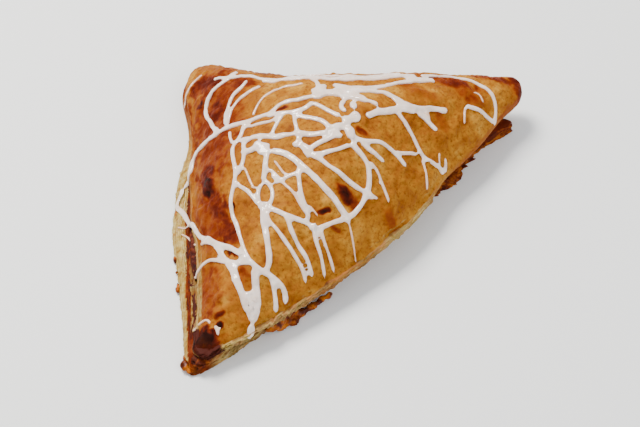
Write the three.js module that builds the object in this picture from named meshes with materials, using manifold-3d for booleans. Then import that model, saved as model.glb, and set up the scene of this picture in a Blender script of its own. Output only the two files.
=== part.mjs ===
// A baked fruit turnover: one sheet of puff pastry folded over a fruit filling into a triangle.
// Its back edge is the fold. The left and front edges are the seams, where the cut edge of the
// lid stands above the cut edge of the base and baked fruit syrup shows in the gap between them.
//
// Millimetres, +Z up, +X to the right, +Y to the back. The origin is at the middle of the box
// around the object, on the flat underside.

import * as THREE from "three";
import { mergeVertices } from "three/addons/utils/BufferGeometryUtils.js";
import Module from "manifold-3d";

const wasm = await Module();
wasm.setup();

// ---------------------------------------------------------------- driving dimensions

// The base sheet lies on the tray. Its corners, before they are rounded:
const BASE_CORNERS = [[-52.3, 66.0], [-52.0, -66.5], [62.5, 41.0]];
// The lid is drawn in over the filling, and its right corner has sprung up and out.
const LID_CORNERS = [[-53.3, 65.0], [-47.5, -62.0], [64.0, 51.5]];

// How far each side stands out from the straight line between its corners, and how far that
// swelling leans towards the side's second corner. The sides are left seam, front seam, fold.
const BASE_SIDES = [
  { swell: 6.6, lean: -0.2 },
  { swell: 2.3, lean: -2.2 },
  { swell: -6.8, lean: -2.0 },
];
const LID_SIDES = [
  { swell: 2.6, lean: -1.8 },
  { swell: 13.5, lean: 0.2 },
  { swell: -7.2, lean: -2.2 },
];

// Where an edge is pushed out or dented in, along X: the place round the edge in stations, how
// wide, and how far out to the left. Two lie beside the back corner, the others along the seams.
const BASE_DENTS = [
  { at: 0.19, wide: 0.17, out: 4.2 },
  { at: 0.54, wide: 0.18, out: -2.2 },
  { at: 1.62, wide: 0.36, out: -1.9 },
  { at: 3.22, wide: 0.25, out: 2.4 },
  { at: 3.5, wide: 0.08, out: -4.6 },
  { at: 3.8, wide: 0.12, out: 2.6 },
];
const LID_DENTS = [
  { at: 0.19, wide: 0.17, out: 2.6 },
  { at: 0.6, wide: 0.2, out: -1.8 },
  { at: 3.3, wide: 0.4, out: 1.5 },
  { at: 3.37, wide: 0.13, out: 2.4 },
  { at: 3.05, wide: 0.1, out: -1.2 },
  { at: 3.87, wide: 0.07, out: -2.2 },
];

const CORNER_SOFTNESS = 0.1; // share of a side that each corner's rounding takes
const CROWN_SOFTNESS = 0.95; // the same near the crown, where the ridges melt into the dome
const WOBBLE = 0.4; // unevenness of a hand-cut edge

const CROWN = [-9, 12]; // where the lid is highest
const CROWN_HEIGHT = 37.5;
const DOUGH = 5.5; // baked thickness of the sheet
const CAVITY_FLOOR = 5.5;

// Sizes that change round the edge are given at six stations, and a smooth curve joins them:
// back corner, middle of the left seam, front corner, middle of the front seam, right corner,
// middle of the fold.
const LID_UNDERSIDE = [5.2, 5.6, 4.9, 8.8, 9.6, 7.0];
const LIP_THICKNESS = [4.2, 3.6, 3.2, 3.8, 6.2, 6.0];
const GROOVE_DEPTH = [4.0, 6.0, 4.0, 7.5, 8.0, 4.0];
const FOLDED = [0.6, 0, 0, 0, 0.15, 1]; // 0 is an open seam, 1 the closed fold
const DOME_WIDTH_POWER = [1.8, 2.1, 1.75, 2.0, 1.85, 2.4];
const DOME_RISE_POWER = [0.95, 0.8, 1.0, 0.78, 0.95, 0.68];
const FILLING_INSET = [20, 15, 20, 17, 20, 15];

// Where syrup has run out through the seam: the place round the edge in stations, how wide the
// run is in stations, how far it stands out past the edge of the base, and how fat it is.
const SYRUP_RUNS = [
  { at: 1.3, wide: 0.5, out: -5.6, fat: 0 },
  { at: 2.5, wide: 0.2, out: 6.4, fat: 1.6 },
  { at: 2.8, wide: 0.2, out: 2.4, fat: 0.9 },
  { at: 3.6, wide: 0.22, out: 0.4, fat: 0.5 },
];
const SEAM_GAP = 0.3; // clearance between the pastry and the filling

const STATIONS = 6;
const EDGE_STEPS = 144; // points round the edge
const DOME_RINGS = [0.035, 0.085, 0.15, 0.23, 0.32, 0.42, 0.53, 0.65, 0.78, 0.9];

// ---------------------------------------------------------------- curves round the edge

// A smooth closed curve through six values, read at any place q from 0 to 6.
function around(values, q) {
  const n = values.length;
  const i = Math.floor(q);
  const f = q - i;
  const [a, b, c, d] = [-1, 0, 1, 2].map((k) => values[(((i + k) % n) + n) % n]);
  const slopeIn = (c - a) / 2;
  const slopeOut = (d - b) / 2;
  const f2 = f * f;
  const f3 = f2 * f;
  return (
    (2 * f3 - 3 * f2 + 1) * b +
    (f3 - 2 * f2 + f) * slopeIn +
    (3 * f2 - 2 * f3) * c +
    (f3 - f2) * slopeOut
  );
}

// The sharp-cornered outline: side k runs from corner k to the next, over two stations.
function sharpOutline(corners, sides, q) {
  const place = ((q % STATIONS) + STATIONS) % STATIONS;
  const k = Math.floor(place / 2);
  const t = place / 2 - k;
  const from = new THREE.Vector2(...corners[k]);
  const to = new THREE.Vector2(...corners[(k + 1) % 3]);
  const along = to.clone().sub(from).normalize();
  const outward = new THREE.Vector2(along.y, -along.x);
  const { swell, lean } = sides[k];
  const bulge = swell * Math.sin(Math.PI * t) - lean * Math.sin(2 * Math.PI * t);
  return from.lerp(to, t).addScaledVector(outward, bulge);
}

// The corners are rounded by averaging the sharp outline over a short stretch.
function outline(corners, sides, dents, q, softness = CORNER_SOFTNESS) {
  const samples = 13;
  const sum = new THREE.Vector2();
  for (let i = 0; i < samples; i++) {
    const shift = (i / (samples - 1) - 0.5) * 2 * softness;
    sum.add(sharpOutline(corners, sides, q + shift));
  }
  const point = sum.divideScalar(samples);
  const angle = (q / STATIONS) * 2 * Math.PI;
  const wobble = WOBBLE * (Math.sin(11 * angle + 1) * 0.6 + Math.sin(17 * angle) * 0.4);
  point.addScaledVector(point.clone().sub(crown).normalize(), wobble);
  for (const { at, wide, out } of dents) {
    const past = ((((q - at + 3) % 6) + 6) % 6) - 3;
    point.x -= out * Math.exp(-((past / wide) ** 2));
  }
  return point;
}

const crown = new THREE.Vector2(...CROWN);
const baseEdge = (q) => outline(BASE_CORNERS, BASE_SIDES, BASE_DENTS, q);
const lidEdge = (q) => outline(LID_CORNERS, LID_SIDES, LID_DENTS, q);

// A point a given distance in from an edge, measured towards the crown.
function inFrom(edge, q, distance) {
  const point = edge(q);
  const inward = crown.clone().sub(point);
  return point.addScaledVector(inward.normalize(), distance);
}

// ---------------------------------------------------------------- the lid's dome

// Broad uneven swellings of the baked lid, in millimetres at the place (x, y).
function unevenness(x, y) {
  return (
    0.8 * Math.sin(x / 9 + y / 23 + 0.6) * Math.cos(y / 13 - 0.4) +
    0.5 * Math.sin(x / 5.5 - y / 8 + 2.0)
  );
}

// Height of the lid's outside at q round the edge and a share u of the way up to the crown.
function domeHeight(q, u) {
  const lip = around(LID_UNDERSIDE, q) + around(LIP_THICKNESS, q);
  const spread = THREE.MathUtils.lerp(around(DOME_WIDTH_POWER, q), 2, u * u);
  const rise = around(DOME_RISE_POWER, q);
  const share = Math.pow(1 - Math.pow(1 - u, spread), rise);
  return lip + (CROWN_HEIGHT - lip) * share;
}

function domePoint(q, u) {
  const rim = inFrom(lidEdge, q, 1.6);
  const round = outline(LID_CORNERS, LID_SIDES, LID_DENTS, q, CROWN_SOFTNESS);
  const plan = rim.lerp(round, THREE.MathUtils.smoothstep(u, 0, 0.9)).lerp(crown, u);
  const uneven = unevenness(plan.x, plan.y) * Math.min(1, 4 * u);
  return new THREE.Vector3(plan.x, plan.y, domeHeight(q, u) + uneven);
}

// ---------------------------------------------------------------- closed solids from rings

// Rings of points, from the bottom to the top, closed by a point below and a point above.
function lathed(bottom, rings, top) {
  const steps = rings[0].length;
  const points = [bottom, ...rings.flat(), top];
  const faces = [];
  const at = (ring, i) => 1 + ring * steps + (i % steps);
  for (let i = 0; i < steps; i++) {
    faces.push(0, at(0, i + 1), at(0, i));
    for (let ring = 0; ring + 1 < rings.length; ring++) {
      faces.push(at(ring, i), at(ring, i + 1), at(ring + 1, i + 1));
      faces.push(at(ring, i), at(ring + 1, i + 1), at(ring + 1, i));
    }
    faces.push(at(rings.length - 1, i), at(rings.length - 1, i + 1), points.length - 1);
  }
  const geometry = new THREE.BufferGeometry().setFromPoints(points);
  geometry.setIndex(faces);
  return geometry;
}

function ring(steps, pointAt) {
  return Array.from({ length: steps }, (_, i) => pointAt((i / steps) * STATIONS));
}

// ---------------------------------------------------------------- the folded pastry

// One level of the edge, as a seam and as a fold, mixed by how closed the edge is there.
function edgeLevel(seam, fold) {
  return (q) => {
    const closed = THREE.MathUtils.clamp(around(FOLDED, q), 0, 1);
    const a = seam(q);
    const b = fold(q);
    return a.lerp(b, closed);
  };
}

function lifted(plan, z) {
  return new THREE.Vector3(plan.x, plan.y, z);
}

function pastryOutside() {
  const under = (q) => around(LID_UNDERSIDE, q);
  const lip = (q) => around(LIP_THICKNESS, q);
  const groove = (q) => around(GROOVE_DEPTH, q);
  const base = (inset, z) => (q) => lifted(inFrom(baseEdge, q, inset), z);
  const throat = (share) => (q) =>
    lifted(inFrom(baseEdge, q, groove(q)), THREE.MathUtils.lerp(4.6, under(q), share));
  const lid = (inset, rise) => (q) =>
    lifted(inFrom(lidEdge, q, inset), under(q) + lip(q) * rise);
  const levels = [
    edgeLevel(base(14, 0), base(14, 0)),
    edgeLevel(base(2.8, 0), base(3.4, 0)),
    edgeLevel(base(0.6, 0.9), base(1.4, 1.0)),
    edgeLevel(base(0, 2.2), base(0.6, 2.6)),
    edgeLevel(base(0.5, 3.6), base(0.2, 4.4)),
    edgeLevel(base(1.8, 4.4), base(0, 6.0)),
    edgeLevel(throat(0.1), base(0.1, 7.2)),
    edgeLevel(throat(0.9), lid(0.2, 0.1)),
    edgeLevel(lid(2.4, 0), lid(0.1, 0.25)),
    edgeLevel(lid(0.6, 0.12), lid(0.3, 0.45)),
    edgeLevel(lid(0, 0.42), lid(0.6, 0.65)),
    edgeLevel(lid(0.35, 0.78), lid(1.0, 0.83)),
  ];
  const rings = levels.map((level) => ring(EDGE_STEPS, level));
  for (const u of [0, ...DOME_RINGS]) {
    rings.push(ring(EDGE_STEPS, (q) => domePoint(q, u)));
  }
  const top = new THREE.Vector3(...CROWN, CROWN_HEIGHT + unevenness(...CROWN));
  return lathed(new THREE.Vector3(...CROWN, 0), rings, top);
}

// ---------------------------------------------------------------- the fruit filling

// How much of a syrup run there is at q: 1 in its middle, 0 away from it.
function syrupAt(run, q) {
  const away = Math.abs(q - run.at) / run.wide;
  return away < 1 ? Math.pow(Math.cos((away * Math.PI) / 2), 0.6) : 0;
}

// The filling is a lens between base and lid. Its rim reaches out to the syrup runs.
function fillingBody(grow) {
  const rimInset = (q) => {
    const inside = around(FILLING_INSET, q);
    const reach = SYRUP_RUNS.map((run) => (inside + run.out) * syrupAt(run, q));
    return inside - Math.max(...reach) - grow;
  };
  const steps = EDGE_STEPS / 2;
  const gapMiddle = (q) => (4.6 + around(LID_UNDERSIDE, q)) / 2;
  const fatness = (q) => Math.max(...SYRUP_RUNS.map((run) => run.fat * syrupAt(run, q)));
  // The rim's middle sags where the run is fat. side is 1 for its top, -1 for its underside.
  const rim = (inset, side) => (q) => {
    const fat = fatness(q);
    const plan = inFrom(baseEdge, q, rimInset(q) + inset * (1 + fat));
    return lifted(plan, gapMiddle(q) - 0.9 * fat + side * (0.35 + fat + grow));
  };
  const floorAt = (share) => (q) =>
    lifted(inFrom(baseEdge, q, rimInset(q) + 1.5).lerp(crown, share), CAVITY_FLOOR - grow);
  const roof = (share) => (q) => {
    const plan = inFrom(baseEdge, q, around(FILLING_INSET, q)).lerp(crown, share);
    const rise = Math.sin((share * Math.PI) / 2);
    const full = CROWN_HEIGHT - DOUGH - 3.5;
    const low = gapMiddle(q) + 1.2;
    return lifted(plan, low + (full - low) * rise + grow);
  };
  const rings = [
    ring(steps, floorAt(0.5)),
    ring(steps, (q) => lifted(inFrom(baseEdge, q, around(FILLING_INSET, q) + 2), CAVITY_FLOOR - grow)),
    ring(steps, rim(0.6, -1)),
    ring(steps, rim(0, 0)),
    ring(steps, rim(0.6, 1)),
    ring(steps, roof(0.04)),
    ring(steps, roof(0.25)),
    ring(steps, roof(0.5)),
    ring(steps, roof(0.75)),
  ];
  const bottom = new THREE.Vector3(...CROWN, CAVITY_FLOOR - grow);
  const top = new THREE.Vector3(...CROWN, CROWN_HEIGHT - DOUGH - 3 + grow);
  return lathed(bottom, rings, top);
}

// ---------------------------------------------------------------- joins and cuts

function solidFrom(geometry) {
  const merged = mergeVertices(geometry, 1e-3);
  return new wasm.Manifold(
    new wasm.Mesh({
      numProp: 3,
      vertProperties: merged.attributes.position.array,
      triVerts: new Uint32Array(merged.index.array),
    }),
  );
}

function geometryFrom(solid) {
  const mesh = solid.getMesh();
  const geometry = new THREE.BufferGeometry();
  geometry.setAttribute("position", new THREE.BufferAttribute(mesh.vertProperties, 3));
  geometry.setIndex(new THREE.BufferAttribute(mesh.triVerts, 1));
  geometry.computeVertexNormals();
  return geometry;
}

// ---------------------------------------------------------------- the object

const crust = new THREE.MeshStandardMaterial({ color: 0xc07a2c, roughness: 0.6, metalness: 0 });
const syrup = new THREE.MeshStandardMaterial({ color: 0x8a3208, roughness: 0.2, metalness: 0 });

const pastrySolid = solidFrom(pastryOutside()).subtract(solidFrom(fillingBody(SEAM_GAP)));

const pastry = new THREE.Mesh(geometryFrom(pastrySolid), crust);
pastry.name = "pastry";

const filling = new THREE.Mesh(fillingBody(0), syrup);
filling.name = "filling";

// The whole is moved so that the origin is at the middle of its box.
const middle = new THREE.Box3().setFromObject(pastry).getCenter(new THREE.Vector3());
for (const piece of [pastry, filling]) {
  piece.geometry.translate(-middle.x, -middle.y, 0);
}

const turnover = new THREE.Group();
turnover.name = "turnover";
turnover.add(pastry, filling);

export default turnover;
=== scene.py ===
# %% [markdown]
# # A baked fruit turnover
# A turnover is one sheet of puff pastry folded over a fruit filling. This lesson dresses the
# imported model of one: its crust, the thin layers along the two cut edges, the syrup that baked
# out of the seams, and the icing that was drizzled over it. The first cell loads the model. The
# finished looks may not grow past it.

# %% Load the frame
import math
import random

import bpy
import numpy as np
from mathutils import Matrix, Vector, noise
from mathutils.bvhtree import BVHTree


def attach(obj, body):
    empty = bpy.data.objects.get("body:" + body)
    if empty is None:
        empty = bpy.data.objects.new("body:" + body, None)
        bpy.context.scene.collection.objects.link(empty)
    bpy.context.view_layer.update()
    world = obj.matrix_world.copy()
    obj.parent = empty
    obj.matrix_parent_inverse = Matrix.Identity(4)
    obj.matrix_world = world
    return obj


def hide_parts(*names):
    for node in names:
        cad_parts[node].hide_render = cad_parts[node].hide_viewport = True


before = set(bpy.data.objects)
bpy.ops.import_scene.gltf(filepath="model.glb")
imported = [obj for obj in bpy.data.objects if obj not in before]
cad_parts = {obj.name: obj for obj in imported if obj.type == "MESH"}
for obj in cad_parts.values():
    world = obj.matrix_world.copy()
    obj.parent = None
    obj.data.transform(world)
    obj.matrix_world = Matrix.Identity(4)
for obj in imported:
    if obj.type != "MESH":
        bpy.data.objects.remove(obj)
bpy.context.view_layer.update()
MM = 0.001

# %% [markdown]
# ## The camera
# The turnover is seen from its front, from well above. The camera is a long lens, so the
# triangle keeps its true proportions. Its place follows from a point on the table that it looks
# at, a distance and an elevation.

# %% Camera
AIM = Vector((-10.65, 1.78, 0)) * MM
DISTANCE = 0.5604
ELEVATION = math.radians(52)
HALF_VIEW = math.radians(11)
bpy.ops.object.camera_add(
    location=AIM + DISTANCE * Vector((0, -math.cos(ELEVATION), math.sin(ELEVATION))),
    rotation=(math.pi / 2 - ELEVATION, 0, 0),
)
camera = bpy.context.object
camera.data.sensor_width = 36
camera.data.lens = camera.data.sensor_width / 2 / math.tan(HALF_VIEW)
bpy.context.scene.camera = camera
print("lens in mm:", round(camera.data.lens, 1))

# %% [markdown]
# ## Table and light
# A plain pale table, one broad soft light behind the left shoulder of the pastry, a weak fill
# from the right, and a cool surround. A broad light gives soft shadows that fall to the front
# right, and its reflection draws the long highlights on the icing.

# %% Table
bpy.ops.mesh.primitive_plane_add(size=6, location=(0, 0, 0))
table = bpy.context.object
table.name = "table"
table_paint = bpy.data.materials.new("table_paint")
table_paint.use_nodes = True
paint = table_paint.node_tree.nodes["Principled BSDF"]
paint.inputs["Base Color"].default_value = (0.93, 0.935, 0.92, 1)
paint.inputs["Roughness"].default_value = 0.6
table.data.materials.append(table_paint)


# %% Lights
def soft_light(name, place, size, watts, colour):
    """A square lamp, its size and place in metres, turned towards the middle of the table."""
    bpy.ops.object.light_add(type="AREA", location=place)
    light = bpy.context.object
    light.name = name
    light.data.size = size
    light.data.energy = watts
    light.data.color = colour
    light.rotation_euler = (-Vector(place)).to_track_quat("-Z", "Y").to_euler()


soft_light("key", (-0.34, 0.36, 0.80), 0.36, 15, (1.0, 0.97, 0.93))
soft_light("fill", (0.5, -0.6, 0.8), 0.8, 6.0, (0.96, 0.98, 1.0))
world = bpy.data.worlds.new("surround")
bpy.context.scene.world = world
world.use_nodes = True
background = world.node_tree.nodes["Background"]
background.inputs["Color"].default_value = (0.93, 0.96, 1.0, 1)
background.inputs["Strength"].default_value = 0.7

# %% [markdown]
# ## The two edges
# Everything fine on this object follows its two outlines: the cut edge of the base sheet on the
# tray and the cut edge of the lid above it. They are described here once more from the same
# named sizes that the solid was made from, as places round the edge called stations: 0 at the
# back corner, 2 at the front corner, 4 at the right corner, and the odd ones at the middles of
# the left seam, the front seam and the fold.

# %% Outlines of the base and the lid
# all in mm: corners in plan, then how far each side swells out and leans, then dents, each with
# its station, its width in stations and how far it moves the edge towards -X
CROWN = np.array([-9.0, 12.0])
BASE = {
    "corners": [(-52.3, 66.0), (-52.0, -66.5), (62.5, 41.0)],
    "sides": [(6.6, -0.2), (2.3, -2.2), (-6.8, -2.0)],
    "dents": [(0.19, 0.17, 4.2), (0.54, 0.18, -2.2), (1.62, 0.36, -1.9), (3.22, 0.25, 2.4),
              (3.5, 0.08, -4.6), (3.8, 0.12, 2.6)],
}
LID = {
    "corners": [(-53.3, 65.0), (-47.5, -62.0), (64.0, 51.5)],
    "sides": [(2.6, -1.8), (13.5, 0.2), (-7.2, -2.2)],
    "dents": [(0.19, 0.17, 2.6), (0.6, 0.2, -1.8), (3.3, 0.4, 1.5), (3.37, 0.13, 2.4),
              (3.05, 0.1, -1.2), (3.87, 0.07, -2.2)],
}
# heights at the six whole stations
LID_UNDERSIDE = [5.2, 5.6, 4.9, 8.8, 9.6, 7.0]
LIP_THICKNESS = [4.2, 3.6, 3.2, 3.8, 6.2, 6.0]


def around(values, q):
    """A smooth closed curve through six values, read at the stations q."""
    values = np.asarray(values, float)
    i = np.floor(q).astype(int)
    f = q - i
    a, b, c, d = (values[(i + k) % 6] for k in (-1, 0, 1, 2))
    return (
        (2 * f**3 - 3 * f**2 + 1) * b
        + (f**3 - 2 * f**2 + f) * (c - a) / 2
        + (3 * f**2 - 2 * f**3) * c
        + (f**3 - f**2) * (d - b) / 2
    )


def sharp_outline(sheet, q):
    """Points on the edge of a sheet before its corners are rounded."""
    q = np.mod(q, 6)
    corners = np.array(sheet["corners"])
    sides = np.array(sheet["sides"])
    k = np.floor(q / 2).astype(int) % 3
    t = (q / 2 - np.floor(q / 2))[:, None]
    start, end = corners[k], corners[(k + 1) % 3]
    along = (end - start) / np.linalg.norm(end - start, axis=1)[:, None]
    outward = np.stack([along[:, 1], -along[:, 0]], axis=1)
    swell, lean = sides[k][:, :1], sides[k][:, 1:]
    bulge = swell * np.sin(np.pi * t) - lean * np.sin(2 * np.pi * t)
    return start + (end - start) * t + outward * bulge


def outline(sheet, q):
    """Points in mm on the edge of a sheet, with its corners rounded and a slight wobble."""
    q = np.atleast_1d(np.asarray(q, float))
    shifts = np.linspace(-0.1, 0.1, 13)
    point = sum(sharp_outline(sheet, q + shift) for shift in shifts) / len(shifts)
    angle = q / 6 * 2 * np.pi
    wobble = 0.4 * (np.sin(11 * angle + 1) * 0.6 + np.sin(17 * angle) * 0.4)
    away = point - CROWN
    point = point + away / np.linalg.norm(away, axis=1)[:, None] * wobble[:, None]
    for at, wide, out in sheet["dents"]:
        past = np.mod(q - at + 3, 6) - 3
        point[:, 0] -= out * np.exp(-((past / wide) ** 2))
    return point


every_q = np.linspace(0, 6, 145)[:-1]
both = np.vstack([outline(BASE, every_q), outline(LID, every_q)])
MIDDLE = (both.min(axis=0) + both.max(axis=0)) / 2
crown_xy = CROWN - MIDDLE
print("middle of the box before centring, mm:", MIDDLE.round(2))


def edge(sheet, q, inset=0.0):
    """Points in mm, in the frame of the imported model, an inset in from a sheet's edge."""
    point = outline(sheet, q) - MIDDLE
    inward = crown_xy - point
    inward = inward / np.linalg.norm(inward, axis=1)[:, None]
    return point + inward * np.atleast_1d(inset)[:, None]


def lid_underside(q):
    return around(LID_UNDERSIDE, np.atleast_1d(np.asarray(q, float)))


def lid_top(q):
    q = np.atleast_1d(np.asarray(q, float))
    return around(LID_UNDERSIDE, q) + around(LIP_THICKNESS, q)


# %% [markdown]
# For colouring and shaping, each point of a mesh has to know where it is round the edge and how
# far in from each edge. The direction from the crown gives the station, and the distance from
# the crown, compared with the edges' own, gives the insets.

# %% Where a point is, in terms of the edges
fine_q = np.linspace(0, 6, 1201)[:-1]


def ring_table(sheet):
    """The angle from the crown, the station and the reach of places all round a sheet's edge."""
    points = edge(sheet, fine_q)
    away = points - crown_xy
    angle = np.arctan2(away[:, 1], away[:, 0])
    order = np.argsort(angle)
    reach = np.linalg.norm(away, axis=1)
    return angle[order], fine_q[order], reach[order]


def looped(x, xs, ys):
    """Reads a table whose first column is an angle, across the turn from pi to -pi."""
    xs = np.concatenate([xs - 2 * np.pi, xs, xs + 2 * np.pi])
    return np.interp(x, xs, np.tile(ys, 3))


lid_table, base_table = ring_table(LID), ring_table(BASE)


def place_of(points):
    """Station, inset from the lid's edge and inset from the base's edge, for points in mm."""
    away = points[:, :2] - crown_xy
    angle = np.arctan2(away[:, 1], away[:, 0])
    reach = np.linalg.norm(away, axis=1)
    nearest = np.searchsorted(lid_table[0], angle) % len(fine_q)
    station = lid_table[1][nearest]
    inset_lid = looped(angle, lid_table[0], lid_table[2]) - reach
    inset_base = looped(angle, base_table[0], base_table[2]) - reach
    return station, inset_lid, inset_base


def step(x, low, high):
    """0 below low, 1 above high, and a smooth rise between."""
    t = np.clip((x - low) / (high - low), 0, 1)
    return t * t * (3 - 2 * t)


# %% [markdown]
# ## The crust
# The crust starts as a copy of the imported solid, so it has the true form and the true hollow for
# the filling. Its triangles are long and thin, so a Remesh modifier replaces them by small even
# squares that can carry blisters and wrinkles. What is never seen, the hollow and the flat
# underside, is thinned again by a Decimate modifier that works through a vertex group.

# %% Copy and remesh
def active(*pieces):
    """Selects these pieces and nothing else, and makes the first the active one."""
    bpy.ops.object.select_all(action="DESELECT")
    for piece in pieces:
        piece.select_set(True)
    bpy.context.view_layer.objects.active = pieces[0]


def copy_of(node, name):
    """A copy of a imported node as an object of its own, with doubled points merged."""
    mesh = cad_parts[node].data.copy()
    mesh.materials.clear()
    piece = bpy.data.objects.new(name, mesh)
    bpy.context.collection.objects.link(piece)
    active(piece)
    bpy.ops.object.mode_set(mode="EDIT")
    bpy.ops.mesh.select_all(action="SELECT")
    bpy.ops.mesh.remove_doubles(threshold=0.00001)
    bpy.ops.object.mode_set(mode="OBJECT")
    return piece


def apply_modifier(piece, kind, **settings):
    """Adds a modifier of a kind with its settings, and applies it."""
    active(piece)
    modifier = piece.modifiers.new(kind.lower(), kind)
    for key, value in settings.items():
        setattr(modifier, key, value)
    bpy.ops.object.modifier_apply(modifier=modifier.name)


def points_of(piece):
    """A piece's points in mm."""
    flat = np.empty(len(piece.data.vertices) * 3)
    piece.data.vertices.foreach_get("co", flat)
    return flat.reshape(-1, 3) / MM


def set_points(piece, points):
    """Moves a piece's points to places in mm."""
    piece.data.vertices.foreach_set("co", (points * MM).ravel())
    piece.data.update()


def normals_of(piece):
    """The outward direction at each of a piece's points."""
    flat = np.empty(len(piece.data.vertices) * 3)
    piece.data.vertex_normals.foreach_get("vector", flat)
    return flat.reshape(-1, 3)


def triangles(piece):
    return sum(len(face.vertices) - 2 for face in piece.data.polygons)


crust = copy_of("pastry", "crust")
apply_modifier(crust, "REMESH", mode="VOXEL", voxel_size=0.53 * MM)
print("crust after the remesh:", triangles(crust), "triangles")

# %% Thin out the hollow and the underside
points = points_of(crust)
normals = normals_of(crust)
station, inset_lid, inset_base = place_of(points)
under = (normals[:, 2] < -0.9) & (points[:, 2] < 0.4) & (inset_base > 4)
hollow_up = (normals[:, 2] < -0.05) & (points[:, 2] > 6) & (inset_base > 11) & (inset_lid > 11)
hollow_floor = (points[:, 2] < 8) & (points[:, 2] > 4.2) & (inset_base > 11) & (normals[:, 2] > 0.3)
hidden = under | hollow_up | hollow_floor
group = crust.vertex_groups.new(name="thin_out")
group.add(np.nonzero(hidden)[0].tolist(), 1.0, "REPLACE")
apply_modifier(crust, "DECIMATE", ratio=0.5, vertex_group=group.name, vertex_group_factor=1.0)
crust.vertex_groups.clear()
print("crust after thinning:", triangles(crust), "triangles")

# %% [markdown]
# Puff pastry rises unevenly. Steam lifts the top layers into small blisters, the skin wrinkles
# between them, and the lid sinks a little round them. Displace modifiers with noise textures
# give the wrinkles. They act through a vertex group that is full on the lid's outside and fades
# out at the cut edges, so the seams keep their shape.

# %% Where the outside of the lid is
points = points_of(crust)
normals = normals_of(crust)
station, inset_lid, inset_base = place_of(points)
top_here = lid_top(station)
outside = (points[:, 2] > top_here - 2.2) & (normals[:, 2] > -0.35)
fold_side = (station > 4.15) & (station < 5.9) & (inset_lid < 3)
on_lid = np.where(outside, step(points[:, 2], top_here - 2.0, top_here + 1.2), 0)
on_lid = np.where(fold_side, step(points[:, 2], 2.0, 5.0) * step(4.0 - inset_lid, 0.0, 1.0), on_lid)
lid_group = crust.vertex_groups.new(name="lid")
for level in range(1, 11):
    rows = np.nonzero(np.round(on_lid * 10).astype(int) == level)[0].tolist()
    if rows:
        lid_group.add(rows, level / 10, "REPLACE")
print("points on the outside of the lid:", int((on_lid > 0.5).sum()))


# %% Wrinkles
def roughen(piece, name, kind, size_mm, height_mm, group, **extra):
    """Moves a piece's skin in and out by a noise texture, through a vertex group."""
    texture = bpy.data.textures.new(name, kind)
    texture.noise_scale = size_mm * MM
    for key, value in extra.items():
        setattr(texture, key, value)
    apply_modifier(
        piece, "DISPLACE", texture=texture, texture_coords="LOCAL", strength=height_mm * MM,
        mid_level=0.5, vertex_group=group,
    )


roughen(crust, "swells", "CLOUDS", 9.0, 1.9, "lid", noise_depth=1)
roughen(crust, "puckers", "CLOUDS", 3.2, 0.95, "lid", noise_depth=2)
roughen(crust, "skin", "STUCCI", 1.5, 0.34, "lid", turbulence=2)

# %% [markdown]
# The blisters stand at places of their own. Each is a low dome with a slightly sunken ring
# round it, and the larger ones have browned or burnt. A table holds their places, radii and
# heights in millimetres, and more small ones are strewn by a seeded generator.

# %% Blisters
BLISTERS = [
    # x, y, radius, height
    (-8.3, -15.3, 2.0, 0.85),
    (-3.2, -11.8, 2.6, 0.75),
    (-48.0, -1.5, 3.4, 0.9),
    (-45.5, -8.5, 2.4, 0.7),
    (-42.6, -43.5, 2.8, 0.8),
    (-42.0, -52.5, 1.8, 0.7),
    (-46.5, 29.5, 2.6, 0.7),
    (-50.5, 38.5, 2.0, 0.6),
    (39.0, 37.0, 3.8, 0.8),
    (22.0, 30.0, 3.2, 0.8),
    (30.0, 16.5, 3.0, 0.6),
    (35.0, 22.5, 2.4, 0.6),
    (12.0, -12.5, 3.0, 0.6),
    (-19.0, -26.0, 2.6, 0.5),
    (-33.0, -22.0, 2.2, 0.5),
    (-24.0, 35.0, 3.0, 0.6),
    (8.0, 8.0, 2.4, 0.6),
    (-2.0, -25.0, 2.6, 0.5),
]
chance = random.Random(11)
small_blisters = []
while len(small_blisters) < 150:
    x, y = chance.uniform(-58, 60), chance.uniform(-60, 60)
    _, from_lid, _ = place_of(np.array([[x, y, 0.0]]))
    if from_lid[0] > 3:
        small_blisters.append((x, y, chance.uniform(0.5, 1.5), chance.uniform(0.12, 0.4)))

points = points_of(crust)
normals = normals_of(crust)
rise = np.zeros(len(points))
for x, y, radius, height in BLISTERS + small_blisters:
    away = np.hypot(points[:, 0] - x, points[:, 1] - y) / radius
    near = away < 2
    dome = np.where(away < 1, (1 - away**2) ** 2, 0) - 0.22 * np.exp(-(((away - 1.15) / 0.3) ** 2))
    rise[near] += (height * dome)[near]
weights = np.where(normals[:, 2] > 0, 1, 0) * step(points[:, 2], 8, 11)
set_points(crust, points + normals * (rise * weights)[:, None])
print("blisters:", len(BLISTERS) + len(small_blisters))

# %% [markdown]
# The cut edge of the base stands out beyond the lid on the left, and its layers have slid into
# a slope there, so the flat shelf of the solid is let down towards its outer edge. At the front
# left corner the lid baked out flat and burnt, so its corner is pulled out and down, as a soft
# proportional move by hand would do it.

# %% Slope of the base's open edge
points = points_of(crust)
station, inset_lid, inset_base = place_of(points)
on_left = step(station, 0.25, 0.6) * (1 - step(station, 2.15, 2.45))
slope_top = 1.1 + 3.4 * np.clip(inset_base / 6.0, 0, 1) ** 0.8
shelf = (points[:, 2] > 1.0) & (points[:, 2] < 4.9) & (inset_base < 6.5)
lowered = np.minimum(points[:, 2], 0.2 + slope_top * points[:, 2] / 4.5)
points[:, 2] = np.where(shelf, points[:, 2] + (lowered - points[:, 2]) * on_left, points[:, 2])
set_points(crust, points)
apply_modifier(crust, "SMOOTH", factor=0.4, iterations=1)
active(crust)
bpy.ops.object.shade_smooth()
print("crust triangles:", triangles(crust))

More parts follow.
